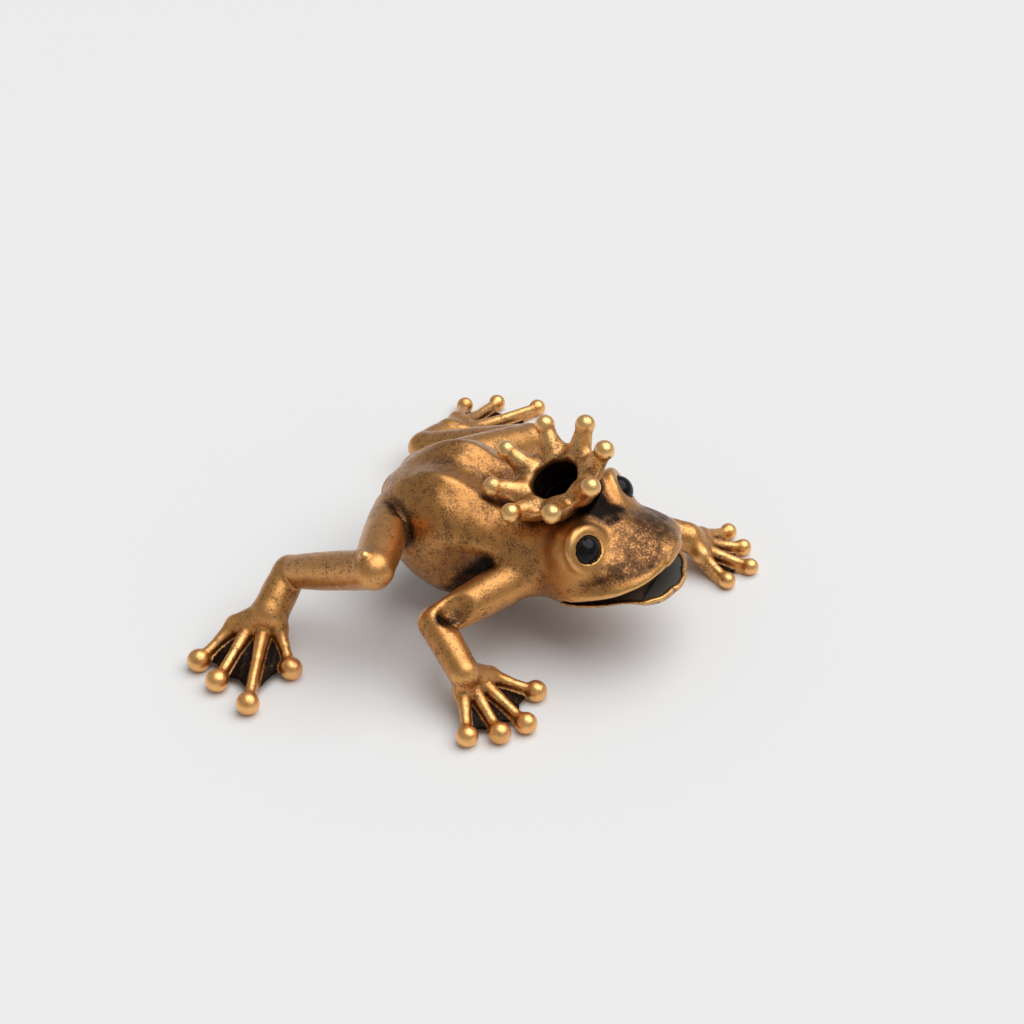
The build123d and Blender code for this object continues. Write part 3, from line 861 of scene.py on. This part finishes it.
def note_relief(piece, points):
    """Notes each point's hollow, ridge, patina and painted shade, and how far out from the trunk it lies."""
    normals = np.empty(len(points) * 3, np.float32)
    piece.data.vertex_normals.foreach_get("vector", normals)
    normals = normals.reshape(-1, 3).astype(float)
    hollow = np.zeros(len(points))
    for reach, weight in HOLLOW_REACHES:
        hollow += weight * np.clip(1 - whole_form(points + normals * reach) / reach, 0, 1)
    upright = np.where(np.abs(normals[:, 2:]) < NEARLY_UPRIGHT, (0, 0, 1.0), (1.0, 0, 0))
    beside = np.cross(normals, upright)
    beside /= length(beside)[:, None]
    above = np.cross(beside, normals)
    ways = (beside, -beside, above, -above)
    ridge = np.zeros(len(points))
    for way in ways:
        ridge += whole_form(points + way * RIDGE_REACH) / RIDGE_REACH / len(ways)
    note(piece, "hollow", hollow)
    note(piece, "ridge", ridge)
    note(piece, "patina_and_shade", patina_and_shade(points))
    note(piece, "limb", np.clip(skull(points) / LIMB_FADE, 0, 1))


def cast(name, form, step):
    """Bronze piece that stands for a solid, skinned from its form."""
    low, high = (np.array(corner) / MM + FLOOR_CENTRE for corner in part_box(name))
    low, high = low - GRID_MARGIN, high + GRID_MARGIN
    points, faces = skin(sampled(form, low, high, step), low, step)
    points = np.clip(relaxed(points, faces), *PART_BOX)
    piece = to_mesh(name + "_bronze", points, faces)
    note_relief(piece, points)
    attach(piece, "root")
    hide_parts(name)
    return piece, points


def glass_bead(name, rim, gaze):
    """Eye bead: a domed front, a rounded girdle and a flat back in its socket."""
    beside = unit(np.cross(gaze, [0, 0, 1]))
    above = np.cross(beside, gaze)
    centre = rim - gaze * EYE_SINK
    rings = []
    for turn in np.linspace(0, pi, BEAD_RINGS + 1)[1:-1]:
        along = max(EYE_RADIUS * cos(turn), -BEAD_BACK)
        out = EYE_RADIUS * sin(turn)
        around = np.linspace(0, 2 * pi, BEAD_SIDES, endpoint=False)[:, None]
        rings.append(centre + gaze * along + out * (np.cos(around) * beside + np.sin(around) * above))
    points = np.vstack([*rings, centre + gaze * EYE_RADIUS, centre - gaze * BEAD_BACK])
    front, back = len(points) - 2, len(points) - 1
    sides = range(BEAD_SIDES)
    faces = [
        (row * BEAD_SIDES + side, (row + 1) * BEAD_SIDES + side,
         (row + 1) * BEAD_SIDES + (side + 1) % BEAD_SIDES, row * BEAD_SIDES + (side + 1) % BEAD_SIDES)
        for row in range(len(rings) - 1) for side in sides
    ]
    last = (len(rings) - 1) * BEAD_SIDES
    faces += [(front, side, (side + 1) % BEAD_SIDES) for side in sides]
    faces += [(back, last + (side + 1) % BEAD_SIDES, last + side) for side in sides]
    piece = to_mesh(name + "_bead", points, faces)
    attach(piece, "root")
    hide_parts(name)
    return piece


# Castings and beads
body, _ = cast("body_casting", body_form, BODY_STEP)
jaw, jaw_points = cast("lower_jaw", jaw_form, CROWN_STEP)
crown, _ = cast("crown", crown_form, CROWN_STEP)
legs = [cast(name, leg_piece(name), LEG_STEP)[0] for name in LEGS]
beads = [glass_bead(name, *eye) for name, eye in EYES.items()]
note(jaw, "lining", jaw_lining(jaw_points))


class Value:
    """A shader value, which adds Math nodes as it is worked with."""

    def __init__(self, finish, socket):
        self.finish = finish
        self.socket = socket

    def maths(self, operation, *values):
        return self.finish.node("ShaderNodeMath", {"operation": operation}, dict(enumerate(values)))

    def __add__(self, other):
        return self.maths("ADD", self, other)

    def __sub__(self, other):
        return self.maths("SUBTRACT", self, other)

    def __rsub__(self, other):
        return self.maths("SUBTRACT", other, self)

    def __mul__(self, other):
        return self.maths("MULTIPLY", self, other)

    __radd__ = __add__
    __rmul__ = __mul__


class Finish:
    """A material, with the nodes that vary it over a surface."""

    def __init__(self, name):
        self.material = bpy.data.materials.new(name)
        self.material.use_nodes = True
        self.tree = self.material.node_tree
        self.shader = self.tree.nodes["Principled BSDF"]
        self.place = self.node("ShaderNodeTexCoord", {}, {}, "Object")

    def node(self, kind, settings, sockets, output=0):
        """A node with its settings, its sockets' values or links, and the output that is wanted."""
        made = self.tree.nodes.new(kind)
        for name, value in settings.items():
            setattr(made, name, value)
        for name, value in sockets.items():
            self.feed(made.inputs[name], value)
        return Value(self, made.outputs[output])

    def feed(self, socket, value):
        if isinstance(value, Value):
            self.tree.links.new(value.socket, socket)
        else:
            socket.default_value = value

    def wear(self, **values):
        """Sets the shader's own sockets."""
        for name, value in values.items():
            self.feed(self.shader.inputs[name.replace("_", " ")], value)

    def noted(self, name):
        """A value noted on the mesh's points."""
        return self.node("ShaderNodeAttribute", {"attribute_name": name}, {}, "Fac")

    def noise(self, size, detail, roughness):
        """Cloudy noise, with clouds of a size in millimetres."""
        sockets = {"Vector": self.place, "Scale": 1 / (size * MM), "Detail": detail, "Roughness": roughness}
        return self.node("ShaderNodeTexNoise", {}, sockets, "Fac")

    def rise(self, value, low, high):
        """Nought below one value and one above another, eased between them."""
        sockets = {"Value": value, "From Min": low, "From Max": high}
        return self.node("ShaderNodeMapRange", {"interpolation_type": "SMOOTHSTEP"}, sockets)

    def mix(self, one, two, share):
        """A colour between two others, by the colour sockets of a Mix node."""
        return self.node("ShaderNodeMix", {"data_type": "RGBA"}, {0: share, 6: one, 7: two}, 2)

    def bump(self, height, depth, strength):
        sockets = {"Height": height, "Distance": depth * MM, "Strength": strength}
        return self.node("ShaderNodeBump", {}, sockets, "Normal")


# Colours
RUBBED = (0.72, 0.38, 0.125, 1)
BROWN = (0.54, 0.245, 0.066, 1)
DEEP_BROWN = (0.17, 0.068, 0.020, 1)
LIMB_RUBBED = (0.93, 0.50, 0.175, 1)
LIMB_BROWN = (0.64, 0.30, 0.085, 1)
GOLDEN = (0.95, 0.56, 0.215, 1)
GOLDEN_BROWN = (0.76, 0.39, 0.125, 1)
# Near black, for the seams' patina and for painted shade in the mouth, the crown's bore and foot, under the
# belly, behind the arms and under the crown's front
BLACK_PATINA_AND_SHADE = (0.011, 0.007, 0.005, 1)
LINING_GREY = (0.085, 0.077, 0.066, 1)
GLASS_BLACK = (0.004, 0.004, 0.005, 1)
GLASS_BROWN = (0.016, 0.011, 0.008, 1)
PALE_FLOOR = (0.83, 0.835, 0.835, 1)

# Noise: the size of its clouds in millimetres, its detail and its roughness
CLOUD = (9.0, 3.0, 0.55)
MOTTLE = (2.2, 3.0, 0.6)
SPECK = (0.55, 2.0, 0.5)
GLASS_CLOUD = (2.0, 2.0, 0.55)
NOISE_MIDDLE = 0.5

# Bronze: how its wear, stain, patina and painted shade follow the noise and the relief
RIDGE_GRAIN = 0.12
MOTTLE_GRAIN = 0.9
SPECK_GRAIN = 0.7
CLOUD_GRAIN = 0.5
SHINE_RISE = (0.05, 0.32)
STAIN_IN_HOLLOWS = 0.3
STAIN_GRAIN = 1.3
STAIN_OFF_RIDGES = 0.2
STAIN_RISE = (0.30, 0.86)
STAIN_STRENGTH = 0.9
BLACK_IN_HOLLOWS = 0.25
BLACK_GRAIN = 0.4
BLACK_RISE = (0.64, 1.08)
WORN_SHARE = 0.5
WORN_RISE = (0.42, 0.85)
LINING_DULLNESS = 0.8
ROUGHNESS = 0.40
STAIN_ROUGHNESS = 0.10
BLACK_ROUGHNESS = 0.06
SHINE_SMOOTHNESS = 0.08
COAT = 0.4
COAT_LOST = 0.35
COAT_ROUGHNESS = 0.3
SPECK_RELIEF = 0.6
MOTTLE_RELIEF = 0.4
RELIEF_DEPTH = 0.22
RELIEF_STRENGTH = 0.6

# Glass
GLASS_RISE = (0.4, 0.7)
GLASS_ROUGHNESS = 0.05
GLASS_CLOUD_ROUGHNESS = 0.06
GLASS_IOR = 1.27


def bronze(name, bright, brown, limbs=None, lined=False):
    """Brown bronze, rubbed bright on its ridges, with dark patina left in its hollows, and darkened near
    black where painted shade is noted.
    """
    finish = Finish(name)
    if limbs:
        bright = finish.mix(bright, limbs[0], finish.noted("limb"))
        brown = finish.mix(brown, limbs[1], finish.noted("limb"))
    hollow, ridge, patina_and_shade_noted = (finish.noted(kind) for kind in ("hollow", "ridge", "patina_and_shade"))
    cloud, mottle, speck = (finish.noise(*kind) for kind in (CLOUD, MOTTLE, SPECK))
    shine = finish.rise(ridge + (mottle - NOISE_MIDDLE) * RIDGE_GRAIN, *SHINE_RISE)
    grain = (mottle - NOISE_MIDDLE) * MOTTLE_GRAIN + (speck - NOISE_MIDDLE) * SPECK_GRAIN
    grain = grain + (cloud - NOISE_MIDDLE) * CLOUD_GRAIN
    # The noted value holds painted shade as well as patina, and these mixes darken it towards deep brown and
    # near black
    darkening = patina_and_shade_noted + hollow * STAIN_IN_HOLLOWS + grain * STAIN_GRAIN - shine * STAIN_OFF_RIDGES
    darkening = finish.rise(darkening, *STAIN_RISE)
    black = finish.rise(patina_and_shade_noted + hollow * BLACK_IN_HOLLOWS + grain * BLACK_GRAIN, *BLACK_RISE)
    worn = finish.rise((cloud + mottle + shine) * WORN_SHARE, *WORN_RISE)
    colour = finish.mix(finish.mix(brown, bright, worn), DEEP_BROWN, darkening * STAIN_STRENGTH)
    colour = finish.mix(colour, BLACK_PATINA_AND_SHADE, black)
    metal = 1.0
    if lined:
        lining = finish.noted("lining")
        colour = finish.mix(colour, LINING_GREY, lining)
        metal = 1 - lining * LINING_DULLNESS
    finish.wear(
        Base_Color=colour,
        Metallic=metal,
        Roughness=ROUGHNESS + darkening * STAIN_ROUGHNESS + black * BLACK_ROUGHNESS - shine * SHINE_SMOOTHNESS,
        Coat_Weight=COAT - black * COAT_LOST,
        Coat_Roughness=COAT_ROUGHNESS,
        Normal=finish.bump(speck * SPECK_RELIEF + mottle * MOTTLE_RELIEF, RELIEF_DEPTH, RELIEF_STRENGTH),
    )
    return finish


def black_glass():
    """Polished black glass with faint brown clouds."""
    finish = Finish("black_glass")
    cloud = finish.noise(*GLASS_CLOUD)
    finish.wear(
        Base_Color=finish.mix(GLASS_BLACK, GLASS_BROWN, finish.rise(cloud, *GLASS_RISE)),
        Roughness=GLASS_ROUGHNESS + cloud * GLASS_CLOUD_ROUGHNESS,
        IOR=GLASS_IOR,
    )
    return finish


# Finishes
skin_finish = bronze("patinated_bronze", RUBBED, BROWN, limbs=(LIMB_RUBBED, LIMB_BROWN))
crown_finish = bronze("polished_bronze", GOLDEN, GOLDEN_BROWN)
jaw_finish = bronze("jaw_bronze", RUBBED, BROWN, lined=True)
glass_finish = black_glass()
for piece in (body, *legs):
    piece.data.materials.append(skin_finish.material)
crown.data.materials.append(crown_finish.material)
jaw.data.materials.append(jaw_finish.material)
for bead in beads:
    bead.data.materials.append(glass_finish.material)

# Camera
ELEVATION = radians(38.0)
AZIMUTH = radians(-67.5)
DISTANCE = 1.0
AIM = Vector((0.0299, 0.0095, 0.0015))
LENS = 117.2
back = Vector((sin(AZIMUTH) * cos(ELEVATION), -cos(AZIMUTH) * cos(ELEVATION), sin(ELEVATION)))
camera = bpy.data.objects.new("camera", bpy.data.cameras.new("camera"))
camera.data.lens = LENS
camera.location = AIM + back * DISTANCE
camera.rotation_euler = (-back).to_track_quat("-Z", "Y").to_euler()
bpy.context.scene.collection.objects.link(camera)
bpy.context.scene.camera = camera
bpy.context.scene.view_settings.view_transform = "Standard"

# Floor and light
FLOOR_HALF = 3
FLOOR_ROUGHNESS = 0.7
SKY_WHITE = (1, 1, 1, 1)
SKY_STRENGTH = 0.35
SUN_ENERGY = 2.25
SUN_SPREAD = radians(70)
TOWARDS_SUN = Vector((0.2, -0.35, 1.0))
floor_corners = [(x * FLOOR_HALF, y * FLOOR_HALF, 0) for x, y in ((-1, -1), (1, -1), (1, 1), (-1, 1))]
floor_mesh = bpy.data.meshes.new("floor")
floor_mesh.from_pydata(floor_corners, [], [(0, 1, 2, 3)])
floor = bpy.data.objects.new("floor", floor_mesh)
bpy.context.scene.collection.objects.link(floor)
floor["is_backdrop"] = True
paint = bpy.data.materials.new("pale_floor")
paint.use_nodes = True
paint.node_tree.nodes["Principled BSDF"].inputs["Base Color"].default_value = PALE_FLOOR
paint.node_tree.nodes["Principled BSDF"].inputs["Roughness"].default_value = FLOOR_ROUGHNESS
floor_mesh.materials.append(paint)
world = bpy.data.worlds.new("studio")
bpy.context.scene.world = world
world.use_nodes = True
world.node_tree.nodes["Background"].inputs["Color"].default_value = SKY_WHITE
world.node_tree.nodes["Background"].inputs["Strength"].default_value = SKY_STRENGTH
sun = bpy.data.objects.new("softbox", bpy.data.lights.new("softbox", "SUN"))
sun.data.energy = SUN_ENERGY
sun.data.angle = SUN_SPREAD
sun.rotation_euler = (-TOWARDS_SUN).to_track_quat("-Z", "Y").to_euler()
bpy.context.scene.collection.objects.link(sun)

[[list(corner) for corner in box] for box in (cad_box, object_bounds())]
